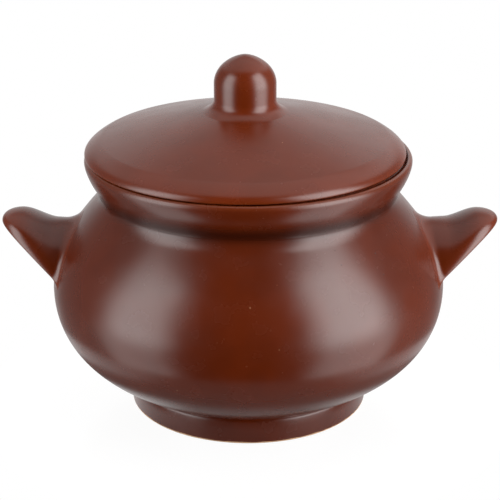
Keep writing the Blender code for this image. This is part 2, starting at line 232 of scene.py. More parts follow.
def linear(colour: str) -> tuple[float, float, float, float]:
    """A colour written as sRGB hex, such as "#64240c", turned to linear red, green, blue and alpha."""
    values = [int(colour[i : i + 2], 16) / 255 for i in (1, 3, 5)]
    red, green, blue = (v / 12.92 if v <= 0.04045 else ((v + 0.055) / 1.055) ** 2.4 for v in values)
    return red, green, blue, 1.0


def pattern(where: Socket, width: float, **inputs: float) -> dict:
    """The inputs of a texture node whose pattern is width millimetres wide."""
    return {"Vector": where, "Scale": 1 / (width * METRES), **inputs}


def add_node(
    tree: Tree, kind: str, settings: dict | None = None, inputs: dict | tuple = (), output: int | str = 0
) -> Socket:
    """Adds a node to a tree, with its settings and links.

    Args:
        tree: The tree that the node goes into.
        kind: The node's type, without the "ShaderNode" in front.
        settings: Its properties by name.
        inputs: What feeds its inputs, in their order or by name: another node's output or a value.
        output: The output that is wanted, by name or number.

    Returns:
        That output's socket.
    """
    node = tree.nodes.new("ShaderNode" + kind)
    for name, value in (settings or {}).items():
        setattr(node, name, value)
    for name, value in inputs.items() if isinstance(inputs, dict) else enumerate(inputs):
        if isinstance(value, Socket):
            tree.links.new(value, node.inputs[name])
        else:
            node.inputs[name].default_value = value
    return node.outputs[output]


def inside_of(tree: Tree, values: tuple[Socket, ...], spans: tuple[Span, ...]) -> Socket:
    """How far inside a zone a place lies, as the product of an eased step for each of its edges.

    Args:
        tree: The tree that the nodes go into.
        values: For each edge, the value that it goes by.
        spans: For each edge, its step.

    Returns:
        The product's socket.
    """
    share = 1.0
    for value, span in zip(values, spans):
        step = add_node(tree, "MapRange", EASED, (value, *span))
        share = add_node(tree, "Math", PRODUCT, (share, step))
    return share


class Dots(NamedTuple):
    """Round dots scattered through the clay, of which a share shows where the surface cuts them."""

    colour: str
    spacing: float
    radius: float
    share: float


@dataclass(frozen=True)
class SatinSlip:
    """Earthenware dipped in a brown iron slip and fired satin, neither dull nor glassy.

    The slip is a deep, very saturated red-brown, and its half-closed skin lays a wide soft reflection on it.
    It is thin over edges, where the warmer clay comes through, and it holds pin-holes and specks. A darker
    painted shade lies in the hollow under the rim. Widths, heights, depths, the pitch and the dots' sizes are
    millimetres.
    """

    name: str
    # The body keeps this darker colour. main() gives the lugs, lid and knob a lighter copy, which is painted
    # light.
    colour: str = "#511a04"
    clouded: str = "#4c1804"
    # Painted shade: the dark colour laid in the hollow above the neck, under the rim.
    pooled: str = "#2c0b02"
    thin: str = "#65290b"
    pits: Dots = Dots("#2c0d04", 8.0, 0.35, 0.5)
    dust: Dots = Dots("#a87a5c", 9.0, 0.30, 0.4)
    dot_core: float = 0.4
    pit_depth: float = 0.03
    roughness: float = 0.26
    roughness_drift: float = 0.02
    drift_width: float = 9.0
    drift_edge: Span = (0.3, 0.7)
    cloud_width: float = 20.0
    cloud_edge: Span = (0.38, 0.62)
    worn_edge: Span = (0.25, 1.0)
    peel_width: float = 1.6
    peel_height: float = 0.003
    ring_pitch: float = 26.3894
    ring_height: float = 0.005
    shift: tuple[float, float, float] = (0.0, 0.0, 0.0)

    def material(self) -> Material:
        """The finish as a node material on object coordinates, which are metres."""
        made = bpy.data.materials.new(self.name)
        made.use_nodes = True
        tree = made.node_tree
        shader = tree.nodes["Principled BSDF"].inputs
        shader["Metallic"].default_value = 0.0
        shader["IOR"].default_value = 1.5
        place = add_node(tree, "TexCoord", output="Object")
        where = add_node(tree, "Mapping", {}, {"Vector": place, "Location": self.shift})
        pits, dust = (self.scattered(tree, where, dots) for dots in (self.pits, self.dust))
        colour, roughness = self.finish_places(tree, where, self.slip(tree, where, pits, dust))
        tree.links.new(colour, shader["Base Color"])
        tree.links.new(roughness, shader["Roughness"])
        tree.links.new(self.skin(tree, where, pits), shader["Normal"])
        return made

    def slip(self, tree: Tree, where: Socket, pits: Socket, dust: Socket) -> Look:
        """The slip: faint clouds, painted shade in the neck, thin warm edges, pits, dust, and a roughness that
        drifts.
        """
        clouds = add_node(tree, "TexNoise", {}, pattern(where, self.cloud_width, Detail=3.0))
        clear = add_node(tree, "MapRange", EASED, (clouds, *self.cloud_edge))
        # Painted shade: how much of the dark neck colour a point takes, read from the body's attribute.
        pool = add_node(tree, "Attribute", {"attribute_name": "slip_pooled"}, output="Fac")
        thin = add_node(tree, "Attribute", {"attribute_name": "slip_thin"}, output="Fac")
        worn = add_node(tree, "MapRange", EASED, (thin, *self.worn_edge))
        layers = [(clear, self.colour), (pool, self.pooled), (worn, self.thin)]
        layers += [(pits, self.pits.colour), (dust, self.dust.colour)]
        colour = linear(self.clouded)
        for share, over in layers:
            colour = add_node(tree, "Mix", COLOURS, {0: share, 6: colour, 7: linear(over)}, 2)
        patches = add_node(tree, "TexNoise", {}, pattern(where, self.drift_width, Detail=3.0))
        low, high = self.roughness - self.roughness_drift, self.roughness + self.roughness_drift
        return colour, add_node(tree, "MapRange", EASED, (patches, *self.drift_edge, low, high))

    def scattered(self, tree: Tree, where: Socket, dots: Dots) -> Socket:
        """The dots as a value: 1 inside a dot that shows, and 0 outside it."""
        cells = add_node(tree, "TexVoronoi", {}, pattern(where, dots.spacing)).node.outputs
        edge = dots.radius / dots.spacing
        near = add_node(tree, "MapRange", EASED, (cells["Distance"], edge, self.dot_core * edge))
        tint = add_node(tree, "SeparateColor", {}, (cells["Color"],))
        chosen = add_node(tree, "Math", {"operation": "LESS_THAN"}, (tint, dots.share))
        return add_node(tree, "Math", PRODUCT, (near, chosen))

    def skin(self, tree: Tree, where: Socket, pits: Socket) -> Socket:
        """The fired skin as bumps: a fine orange peel, the hand's shallow throwing rings, and open pits."""
        peel = add_node(tree, "TexNoise", {}, pattern(where, self.peel_width, Detail=2.0))
        # The node's bands are the sine of 20 times the scaled height.
        waves = pattern(where, self.ring_pitch * 20 / math.tau, Distortion=0.3, Detail=1.0)
        waves["Detail Scale"] = 0.6
        rings = add_node(tree, "TexWave", {"bands_direction": "Z"}, waves, "Fac")
        bumps = [(peel, self.peel_height, {}), (rings, self.ring_height, {})]
        below = {}
        for height, depth, settings in (*bumps, (pits, self.pit_depth, {"invert": True})):
            inputs = {"Height": height, "Distance": depth * METRES, **below}
            below = {"Normal": add_node(tree, "Bump", settings, inputs)}
        return below["Normal"]

    def finish_places(self, tree: Tree, where: Socket, plain: Look) -> Look:
        """Colour and roughness where a piece is finished in another way. The plain slip covers all of it."""
        return plain

    def covered(self, tree: Tree, share: Socket, below: Look, over: tuple[str, float]) -> Look:
        """Colour and roughness with another finish laid over a share of the one below."""
        colour = add_node(tree, "Mix", COLOURS, {0: share, 6: below[0], 7: linear(over[0])}, 2)
        return colour, add_node(tree, "Mix", {}, {0: share, 2: below[1], 3: over[1]})


@dataclass(frozen=True)
class GlazedSlip(SatinSlip):
    """The same slip on a piece that has a clear kitchen glaze inside, glassy and a little darker."""

    glazed: str = "#4a1808"
    glaze_roughness: float = 0.12
    glaze_edge: Span = (0.2, 0.8)

    def finish_places(self, tree: Tree, where: Socket, plain: Look) -> Look:
        """Lays the glaze over the slip where the attribute "glazed" says so."""
        inside = add_node(tree, "Attribute", {"attribute_name": "glazed"}, output="Fac")
        share = add_node(tree, "MapRange", EASED, (inside, *self.glaze_edge))
        return self.covered(tree, share, plain, (self.glazed, self.glaze_roughness))


@dataclass(frozen=True)
class FootedSlip(GlazedSlip):
    """The glazed slip on the body, whose foot was sponged clean: bare tan clay that is dry and dull."""

    clay: str = "#cfa57e"
    clay_roughness: float = 0.85
    clay_edge: Span = (0.93, 1.07)
    wave_width: float = 8.0

    def finish_places(self, tree: Tree, where: Socket, plain: Look) -> Look:
        """Bares the clay underneath and in a wavy line round the foot's edge, and glazes the inside."""
        below = super().finish_places(tree, where, plain)
        bare = add_node(tree, "Attribute", {"attribute_name": "bare"}, output="Fac")
        waves = add_node(tree, "TexNoise", {}, pattern(where, self.wave_width, Detail=3.0))
        edge = add_node(tree, "Math", SUM, (bare, waves))
        share = add_node(tree, "MapRange", EASED, (edge, *self.clay_edge))
        return self.covered(tree, share, below, (self.clay, self.clay_roughness))


class Heights(NamedTuple):
    """The heights of the outer wall's turning points, up to the crest that the lid rests on."""

    cove: float
    belly: float
    shoulder: float
    neck: float
    flare: float
    band: float
    rim: float


@dataclass(frozen=True)
class PotBody:
    """The thrown body: a foot ring, a round belly, a neck and a flared rim, with an even wall."""

    foot_radius: float = 48.6
    foot_cove: float = 3.7
    belly_radius: float = 79.7
    neck_radius: float = 60.3
    shoulder_spread: float = 2.45
    rim_flare: float = 2.3
    rim_band_lean: float = 3.0
    foot_wall_height: float = 8.8
    foot_brow_height: float = 6.6
    foot_brow_reach: float = 0.35
    foot_brow_slope: float = 0.75
    crease_inset: float = 0.7
    foot_cove_rise: float = 4.0
    belly_lower_rise: float = 37.7
    belly_upper_rise: float = 34.6
    shoulder_rise: float = 5.0
    rim_flare_rise: float = 5.3
    rim_band_rise: float = 8.1
    rim_crest_rise: float = 1.8
    lower_fullness: float = 0.59
    lower_end_fullness: float = 0.13
    lower_end_slope: float = 2.18
    upper_fullness: float = 0.438
    upper_end_fullness: float = 0.24
    upper_end_slope: float = 0.851
    hollow_reach: float = 0.7
    cove_reach: float = 0.75
    brow_rounding: float = 0.3
    flare_slope: float = 0.60
    crest_inset: float = 1.5
    groove_inset: float = 3.1
    groove_depth: float = 0.9
    seat_inset: float = 4.4
    seat_width: float = 0.8
    bevel_width: float = 0.8
    wall: float = 6.0
    floor_thickness: float = 8.5
    floor_flatness: float = 0.45
    floor_turn: float = 0.30
    ring_width: float = 7.0
    recess: float = 3.5
    edge_round: float = 0.6
    bare_below: float = 0.35
    slipped_above: float = 1.05
    thin_reach: float = 0.7
    # Painted shade under the rim: how far above the neck it is darkest, and how far it spreads.
    shade_rise: float = 2.2
    shade_spread: float = 3.4
    around: int = 256

    @property
    def heights(self) -> Heights:
        """The wall's turning points, each counted up from the one below."""
        rises = [self.foot_wall_height + self.foot_cove_rise, self.belly_lower_rise, self.belly_upper_rise]
        rises += [self.shoulder_rise, self.rim_flare_rise, self.rim_band_rise, self.rim_crest_rise]
        return Heights(*np.cumsum(rises).tolist())

    @property
    def rim_radius(self) -> float:
        """The radius of the rim's widest circle."""
        return self.neck_radius + self.rim_flare + self.rim_band_lean

    def outer_wall(self, steps: tuple[int, int, int, int, int]) -> Curve:
        """The outside from the cove up to the rim's widest circle, in five curves without a kink.

        Args:
            steps: The pieces of the lower belly, the upper belly, the neck's hollow, the flare and the band.

        Returns:
            Radius and height in millimetres.
        """
        start = (self.foot_radius + self.foot_cove, self.heights.cove)
        shoulder = (self.neck_radius + self.shoulder_spread, self.heights.shoulder)
        neck = (self.neck_radius, self.heights.neck)
        flare = (self.neck_radius + self.rim_flare, self.heights.flare)
        widest, level = self.belly_radius, self.heights.belly
        below = (widest, level - self.lower_fullness * self.belly_lower_rise)
        above = (widest, level + self.upper_fullness * self.belly_upper_rise)
        pull = self.lower_end_fullness * self.belly_lower_rise
        leaving = (start[0] + self.lower_end_slope * pull, start[1] + pull)
        pull = self.upper_end_fullness * self.belly_upper_rise
        reaching = (shoulder[0] + self.upper_end_slope * pull, shoulder[1] - pull)
        lower = bezier(start, leaving, below, (widest, level), steps[0])
        upper = bezier((widest, level), above, reaching, shoulder, steps[1])
        hollow_corner = (neck[0], shoulder[1] + self.shoulder_spread / self.upper_end_slope)
        flare_corner = (neck[0], flare[1] - self.rim_flare / self.flare_slope)
        band_corner = (self.rim_radius, flare[1] + self.rim_band_lean / self.flare_slope)
        hollow = rounded(shoulder, hollow_corner, neck, steps[2], self.hollow_reach)
        rise = rounded(neck, flare_corner, flare, steps[3])
        band = rounded(flare, band_corner, (self.rim_radius, self.heights.band), steps[4])
        return joined(lower, upper, hollow, rise, band)

    def radius_at(self, height: np.ndarray) -> np.ndarray:
        """The outer radius at each height between the cove and the rim."""
        wall = self.outer_wall((120, 120, 30, 30, 30))
        return np.interp(height, wall[:, 1], wall[:, 0])

    def rim_top(self, mouth_edge: Curve) -> Curve:
        """The rim from the edge of the mouth over the seat, the shallow groove and the crest to its band."""
        top = self.heights.rim
        bottom = top - self.groove_depth
        seat = self.rim_radius - self.seat_inset
        groove = self.rim_radius - self.groove_inset
        crest = self.rim_radius - self.crest_inset
        inner = seat - self.seat_width
        fall, climb = (seat + groove) / 2, (groove + crest) / 2
        return joined(
            rounded(mouth_edge, (inner - self.bevel_width, top), (inner, top), 8),
            bezier((seat, top), (fall, top), (fall, bottom), (groove, bottom), 10),
            bezier((groove, bottom), (climb, bottom), (climb, top), (crest, top), 10),
            rounded((crest, top), (self.rim_radius, top), (self.rim_radius, self.heights.band), 14),
        )

    def inside(self) -> Curve:
        """The inner floor and wall, the outer wall moved in by its thickness, from the axis to the mouth."""
        wall = offset(self.outer_wall((26, 26, 10, 8, 8)), self.wall)
        level = self.recess + self.floor_thickness
        edge, rise = wall[0]
        turn = self.floor_turn * edge
        flat = (self.floor_flatness * edge, level)
        climb = (edge - turn, rise - turn / self.lower_end_slope)
        return joined(bezier((0.0, level), flat, climb, wall[0], 22), wall)

    def underside(self) -> Curve:
        """The flat ring that the pot stands on and the recess inside it, from outside in to the axis."""
        outer, small, deep = self.foot_radius, self.edge_round, self.recess
        inner = outer - self.ring_width
        return joined(
            rounded((outer, small), (outer, 0.0), (outer - small, 0.0), 5),
            rounded((inner + small, 0.0), (inner, 0.0), (inner, small), 4),
            rounded((inner, deep - 2 * small), (inner, deep), (inner - 2 * small, deep), 6),
            straight((inner - 2 * small, deep), (0.0, deep), 12),
        )

    def foot(self, belly_end: Curve) -> Curve:
        """The foot from the belly's end down: a narrow cove, a brow that faces up and out, and the wall."""
        narrow = self.foot_radius - self.crease_inset
        wide = self.foot_radius + self.foot_brow_reach
        crease = np.array((narrow, belly_end[1] - (belly_end[0] - narrow) / self.lower_end_slope))
        fall = np.array((wide - narrow, (narrow - wide) / self.foot_brow_slope))
        brow = crease + fall
        above, turn = crease + self.brow_rounding * fall, brow - self.brow_rounding * fall
        return joined(
            rounded(belly_end, crease, above, 14, self.cove_reach),
            straight(above, turn, 3),
            rounded(turn, brow, (wide, self.foot_brow_height), 10),
            straight((wide, self.foot_brow_height), (self.foot_radius, self.edge_round), 12),
        )

    def build(self, finish: FootedSlip) -> None:
        """Makes the body's mesh, says where it is glazed, bare, thinly slipped or under painted shade, and
        dresses it.
        """
        inside = self.inside()
        outside = self.outer_wall((44, 40, 20, 12, 12))[::-1]
        profile = joined(inside, self.rim_top(inside[-1]), outside, self.foot(outside[-1]), self.underside())
        order = np.arange(len(profile))
        radius, height = profile.T
        beyond = order > len(inside)
        under = beyond & (height < self.recess + self.edge_round)
        edge = np.clip((self.slipped_above - height) / (self.slipped_above - self.bare_below), 0.0, 1.0)
        surely_bare = 1.5
        bare = np.where(radius < self.foot_radius - self.edge_round, surely_bare, edge)
        # Painted shade: a band of darker colour in the hollow above the neck, where the rim shades the wall.
        above_neck = (height - self.heights.neck - self.shade_rise) / self.shade_spread
        mesh = turned_mesh(
            "thrown_body",
            profile,
            self.around,
            glazed=order < len(inside),
            bare=np.where(under, bare, 0.0),
            slip_thin=np.clip(bends_of(profile, self.thin_reach), 0.0, 1.0),
            slip_pooled=np.where(beyond, np.exp(-(above_neck**2)), 0.0),
        )
        placed(mesh, finish.material(), Carrier.POT, "pot_body")


@dataclass(frozen=True)
class LugHandle:
    """One lug: a thick tongue of clay that sweeps out from the belly and up to a rounded tip."""

    node: str
    side: int
    reach: float
    saddle_reach: float
    crest_rise: float
    body: PotBody
    tip_rise: float = 27.1
    saddle_drop: float = 0.4
    crest_inset: float = 7.7
    root_width: float = 43.0
    outline_depth: float = 4.7
    outline_power: float = 1.27
    outline_roundness: float = 0.47
    edge_drop: float = 21.2
    edge_power: float = 1.19
    edge_depth: float = 2.0
    root_arch: float = 1.75
    tip_arch: float = 2.0
    underside_arch: float = 4.0
    seam_top: float = 4.0
    seam_side: float = 2.6
    rooted: float = 2.5
    buried: float = 0.06
    thin_width: float = 1.3
    thin_share: float = 0.55
    arch_points: int = 96
    underside_points: int = 56
    stations: int = 72

    @property
    def tip(self) -> float:
        """The distance of the tip from the pot's axis."""
        return self.body.belly_radius + self.reach

    @property
    def tip_level(self) -> float:
        """The height of the tip."""
        return self.body.heights.belly + self.tip_rise

    @property
    def narrow_from(self) -> float:
        """The distance from the pot's axis at which the lug starts to narrow."""
        return self.body.belly_radius - self.outline_depth

    def along(self, distance: np.ndarray) -> np.ndarray:
        """How far out a distance lies, from 0 where the lug starts to narrow to 1 at its tip."""
        return np.clip((distance - self.narrow_from) / (self.tip - self.narrow_from), 0.0, 1.0)

    def crest(self, distance: np.ndarray) -> np.ndarray:
        """The height of the top: level to the saddle, eased up to the crest, elliptic down to the tip."""
        saddle = self.body.belly_radius + self.saddle_reach
        highest = self.tip - self.crest_inset
        fall = np.clip((distance - highest) / self.crest_inset, 0.0, 1.0)
        climb = np.clip((distance - saddle) / (highest - saddle), 0.0, 1.0)
        eased = climb * climb * (3.0 - 2.0 * climb)
        rising = self.tip_level - self.saddle_drop + (self.crest_rise + self.saddle_drop) * eased
        falling = self.tip_level + self.crest_rise * np.sqrt(1.0 - fall * fall)
        return np.where(distance > highest, falling, rising)

    def edge(self, distance: np.ndarray) -> np.ndarray:
        """The height of the lower edge, which falls from the tip to the belly as a power of the distance."""
        share = np.clip((self.tip - distance) / (self.tip - self.narrow_from), 0.0, None)
        return self.tip_level - self.edge_drop * share**self.edge_power

    def half_width(self, distance: np.ndarray) -> np.ndarray:
        """Half the lug's width: a rounded tongue, (1 - out^power)^roundness of its width at the root."""
        out = self.along(distance)
        return self.root_width / 2 * (1.0 - out**self.outline_power) ** self.outline_roundness

    def point(self, distance: np.ndarray, turn: np.ndarray) -> np.ndarray:
        """The lug's surface as a function of the distance from the pot's axis and the turn round it.

        Up to half a turn the section is an arch, y = half width cos^(2/p) and z = edge + height sin^(2/p).
        From there to a full turn it is the nearly flat underside, with p = underside_arch for y.

        Args:
            distance: Distances from the pot's axis in millimetres.
            turn: Angles round the section, in radians.

        Returns:
            An array with x, y and z in its last axis, for the lug on the right.
        """
        cosine, sine = np.cos(turn), np.sin(turn)
        over = sine >= 0
        arch = self.root_arch + (self.tip_arch - self.root_arch) * self.along(distance)
        spread = np.where(over, 2 / arch, 2 / self.underside_arch)
        half_width = self.half_width(distance)
        depth = self.edge_depth * np.sqrt(half_width / (self.root_width / 2))
        edge = self.edge(distance)
        rise = (self.crest(distance) - edge) * np.abs(sine) ** (2 / arch)
        y = half_width * np.sign(cosine) * np.abs(cosine) ** spread
        z = np.where(over, edge + rise, edge - depth * np.abs(sine))
        return np.stack(np.broadcast_arrays(distance, y, z), axis=-1)

    def contact(self, turns: np.ndarray) -> np.ndarray:
        """The distance at which the lug's surface meets the belly for each turn, by halving a range."""
        low = np.full(turns.shape, self.body.neck_radius)
        high = np.full(turns.shape, self.tip)
        for _ in range(40):
            middle = (low + high) / 2
            x, y, z = np.moveaxis(self.point(middle, turns), -1, 0)
            outside = np.hypot(x, y) > self.body.radius_at(z)
            low, high = np.where(outside, low, middle), np.where(outside, middle, high)
        return (low + high) / 2

    def surface(self) -> tuple[np.ndarray, np.ndarray]:
        """The lug flared into the belly, with rings from inside the wall out to the tip.

        Within the seam's radius s of the belly, a point at the clearance c moves away from the lug, along the
        belly, by s - sqrt(s^2 - (s - c)^2), as a finger run along the seam would shape it.

        Returns:
            The rings in millimetres, and how near each point lies to the lug's lower edge, from 0 to 1.
        """
        over = np.linspace(0.0, math.pi, self.arch_points, endpoint=False)
        under = np.linspace(math.pi, math.tau, self.underside_points, endpoint=False)
        turns = np.concatenate([over, under])[None, :]
        start = self.contact(turns)
        share = 0.5 - 0.5 * np.cos(np.linspace(0.0, math.pi, self.stations + 1)[:-1])[:, None]
        distance = start + (self.tip - start) * share
        points = self.point(distance, np.broadcast_to(turns, distance.shape))
        lower = self.point(distance, np.where(points[..., 1] >= 0, 0.0, math.pi))
        nearness = np.exp(-((np.linalg.norm(points - lower, axis=-1) / self.thin_width) ** 2))

        round_it = np.roll(points, -1, axis=1) - np.roll(points, 1, axis=1)
        normal = np.cross(round_it, np.gradient(points, axis=0))
        normal /= np.linalg.norm(normal, axis=-1, keepdims=True) + 1e-9
        outward = np.sign(np.sum(normal[..., 2] * np.sin(turns)))
        belly, clearance = self.belly_normal(points)
        sideways = outward * normal
        sideways -= np.sum(sideways * belly, axis=-1, keepdims=True) * belly
        sideways /= np.linalg.norm(sideways, axis=-1, keepdims=True) + 1e-9
        seam = self.seam_side + (self.seam_top - self.seam_side) * np.clip(np.sin(turns), 0.0, 1.0) ** 4
        inside = np.clip(seam - np.clip(clearance, 0.0, None), 0.0, None)
        flare = seam - np.sqrt(np.maximum(seam**2 - inside**2, 0.0))
        points = points + flare[..., None] * sideways

        belly, clearance = self.belly_normal(points[0])
        points[0] -= (clearance + self.buried)[:, None] * belly
        root = points[0] - self.rooted * belly
        rings = np.concatenate([root[None], points])
        return rings, np.concatenate([nearness[:1], nearness])

    def belly_normal(self, points: np.ndarray) -> tuple[np.ndarray, np.ndarray]:
        """The belly's outward direction beside each point, and the point's clearance from the belly."""
        x, y, z = np.moveaxis(points, -1, 0)
        radius = np.hypot(x, y)
        step = 0.05
        slope = (self.body.radius_at(z + step) - self.body.radius_at(z - step)) / (2 * step)
        steepness = np.sqrt(1.0 + slope**2)
        normal = np.stack([x / radius, y / radius, -slope], axis=-1) / steepness[..., None]
        return normal, (radius - self.body.radius_at(z)) / steepness

    def build(self, finish: SatinSlip) -> None:
        """Makes the lug's mesh on its side of the pot and dresses it."""
        rings, nearness = self.surface()
        rings[..., 0] *= self.side
        tip = np.array([self.side * self.tip, 0.0, self.tip_level])
        mesh = ring_mesh(self.node.replace("handle", "lug"), rings, rings[0].mean(axis=0), tip)
        store(mesh, "slip_thin", np.pad(self.thin_share * nearness.ravel(), 1))
        placed(mesh, finish.material(), Carrier.POT, self.node)


@dataclass(frozen=True)
class Lid:
    """The thrown lid: a low cone with a turned-down edge, and under it a flange that drops into the neck."""

    body: PotBody
    knob_foot: float = 16.4
    inset: float = 1.4
    shift: float = 1.2
    seam: float = 0.3
    edge_height: float = 0.9
    edge_round: float = 0.7
    turn_width: float = 7.0
    turn_height: float = 5.7
    turn_start: float = 0.20
    turn_fullness: float = 0.36
    cone_slope: float = 0.262
    cone_bow: float = 0.5
    thickness: float = 5.8
    flange_clearance: float = 2.2
    flange_depth: float = 7.5
    flange_thickness: float = 4.5
    flange_cove: float = 2.5
    thin_reach: float = 0.6
    thin_share: float = 0.6
    around: int = 256

    @property
    def radius(self) -> float:
        """The radius of the lid's edge."""
        return self.body.rim_radius - self.inset

    @property
    def seat(self) -> float:
        """The height of the lid's flat underside, just over the rim."""
        return self.body.heights.rim + self.seam

    @property
    def turn_radius(self) -> float:
        """The radius at which the cone turns down to the edge."""
        return self.radius - self.turn_width

    @property
    def turn_top(self) -> float:
        """The height at which the cone turns down to the edge."""
        return self.seat + self.edge_height + self.turn_height

    @property
    def top(self) -> float:
        """The height of the lid under the knob."""
        return self.turn_top + self.cone_slope * (self.turn_radius - self.knob_foot)

    def cone(self, drop: float, steps: int) -> Curve:
        """The bowed cone from under the knob out to the turn, lowered by drop."""
        start = np.array((self.knob_foot, self.top - drop))
        end = np.array((self.turn_radius, self.turn_top - drop))
        bow = np.array((0.0, self.cone_bow))
        return bezier(start, start + (end - start) / 3 + bow, end - (end - start) / 3 + bow, end, steps)

    def outside(self) -> Curve:
        """The top of the lid from the axis over the cone and round the turn to the edge."""
        follow = self.turn_start * self.turn_width
        edge_top = self.seat + self.edge_height
        leaving = (self.turn_radius + follow, self.turn_top - follow * self.cone_slope)
        reaching = (self.radius, edge_top + self.turn_fullness * self.turn_height)
        turn = bezier((self.turn_radius, self.turn_top), leaving, reaching, (self.radius, edge_top), 26)
        corner = np.array((self.radius, self.seat))
        edge = rounded(corner + (0.0, self.edge_round), corner, corner - (self.edge_round, 0.0), 8)
        under_knob = straight((0.0, self.top), (self.knob_foot, self.top), 4)
        return joined(under_knob, self.cone(0.0, 40), turn, edge)

    def underside(self) -> Curve:
        """The flat seat, the flange and the hollow of the lid, back to the axis."""
        cove, seat = self.flange_cove, self.seat
        outer = self.body.neck_radius - self.body.wall - self.flange_clearance
        inner = outer - self.flange_thickness
        middle = (outer + inner) / 2
        bottom = seat - self.flange_depth
        rounding = bottom + self.flange_thickness / 2
        hollow_edge = inner - cove
        high = self.turn_top + self.cone_slope * (self.turn_radius - hollow_edge) - self.thickness
        ceiling = self.cone(self.thickness, 30)[::-1]
        ceiling = ceiling[ceiling[:, 0] < hollow_edge - cove]
        return joined(
            straight((self.radius - self.edge_round, seat), (outer + cove, seat), 4),
            rounded((outer + cove, seat), (outer, seat), (outer, seat - cove), 8),
            rounded((outer, rounding), (outer, bottom), (middle, bottom), 8),
            rounded((middle, bottom), (inner, bottom), (inner, rounding), 8),
            rounded((inner, high - cove), (inner, high - cove * self.cone_slope), (hollow_edge, high), 8),
            ceiling,
            straight((self.knob_foot, self.top - self.thickness), (0.0, self.top - self.thickness), 4),
        )

    def build(self, finish: GlazedSlip) -> None:
        """Makes the lid's mesh, glazed in its hollow, and dresses it."""
        outside = self.outside()
        profile = joined(outside, self.underside())
        hollow = np.arange(len(profile)) >= len(outside)
        hollow &= profile[:, 0] < self.body.neck_radius - self.body.wall - self.flange_clearance
        thin = self.thin_share * np.clip(bends_of(profile, self.thin_reach), 0.0, 1.0)
        mesh = turned_mesh("thrown_lid", profile, self.around, -self.shift, glazed=hollow, slip_thin=thin)
        placed(mesh, finish.material(), Carrier.LID, "lid")


@dataclass(frozen=True)
class Knob:
    """The domed knob, luted on the lid, whose shank flows into the cone through a hollow seam."""

    lid: Lid
    radius: float = 12.4
    shank: float = 6.2
    dome_rise: float = 11.8
    crown_fullness: float = 0.24
    side_fullness: float = 0.71
    cove: float = 4.0
    skirt: float = 0.5
    spread: float = 5.2
    sunk: float = 0.03
    rooted: float = 1.5
    around: int = 192

    def profile(self) -> Curve:
        """The section from the top over the dome, down the shank and along a cove that ends in the cone."""
        shank_bottom = self.lid.top + self.lid.seam + self.skirt + self.cove
        shank_top = shank_bottom + self.shank
        top = shank_top + self.dome_rise
        crown = (self.crown_fullness * self.radius, top)
        side = (self.radius, shank_top + self.side_fullness * self.dome_rise)
        dome = bezier((0.0, top), crown, side, (self.radius, shank_top), 48)
        shank = straight((self.radius, shank_top), (self.radius, shank_bottom), 10)
        end = self.radius + self.spread
        cone = self.lid.cone(0.0, 40)
        end_height = float(np.interp(end, cone[:, 0], cone[:, 1])) - self.sunk
        corner = (self.radius, end_height + self.lid.cone_slope * self.spread)
        cove = rounded((self.radius, shank_bottom), corner, (end, end_height), 22)
        bottom = end_height - self.rooted
        return joined(dome, shank, cove, [(end - self.rooted, bottom), (0.0, bottom)])

    def build(self, finish: SatinSlip) -> None:
        """Makes the knob's mesh and dresses it."""
        mesh = turned_mesh("domed_knob", self.profile(), self.around, -self.lid.shift)
        placed(mesh, finish.material(), Carrier.LID, "lid_knob")


@dataclass(frozen=True)
class Softbox:
    """A lamp behind white cloth, or a card that throws light up, with edges that fade.

    Its edges are given by the directions, in degrees, in which the pot sees their middles: across, counted
    round the pot from the camera's side and positive to the right, and upright, counted up from level.
    """

    name: str
    across: tuple[float, float]
    upright: tuple[float, float]
    radiance: float
    fade: float
    distance: float
    pot_middle: float = 0.06

    def build(self) -> None:
        """Adds the lamp, upright and facing the pot's axis."""
        turn, rise = (high - low + self.fade for low, high in (self.across, self.upright))
        ends = (self.upright[0] - self.fade / 2, self.upright[1] + self.fade / 2)
        low, high = (self.pot_middle + self.distance * math.tan(math.radians(end)) for end in ends)
        lamp = bpy.data.lights.new(self.name, "AREA")
        lamp.shape = "RECTANGLE"
        lamp.size = 2 * self.distance * math.tan(math.radians(turn / 2))
        lamp.size_y = high - low
        lamp.energy = self.radiance * math.pi * lamp.size * lamp.size_y
        lamp.use_nodes = True
        tree = lamp.node_tree
        place = add_node(tree, "NewGeometry", output="Parametric")
        x, y, _ = add_node(tree, "SeparateXYZ", {}, (place,)).node.outputs
        bands = (self.fade / turn, self.fade / rise)
        spans = tuple(span for band in bands for span in ((0.0, band), (1.0, 1.0 - band)))
        tree.links.new(inside_of(tree, (x, x, y, y), spans), tree.nodes["Emission"].inputs["Strength"])
        holder = shown(self.name, lamp)
        angle = math.radians(sum(self.across) / 2)
        aside, ahead = self.distance * math.sin(angle), self.distance * math.cos(angle)
        holder.location = (aside, -ahead, (low + high) / 2)
        holder.rotation_euler = (math.pi / 2, 0.0, angle)
        holder.visible_camera = False


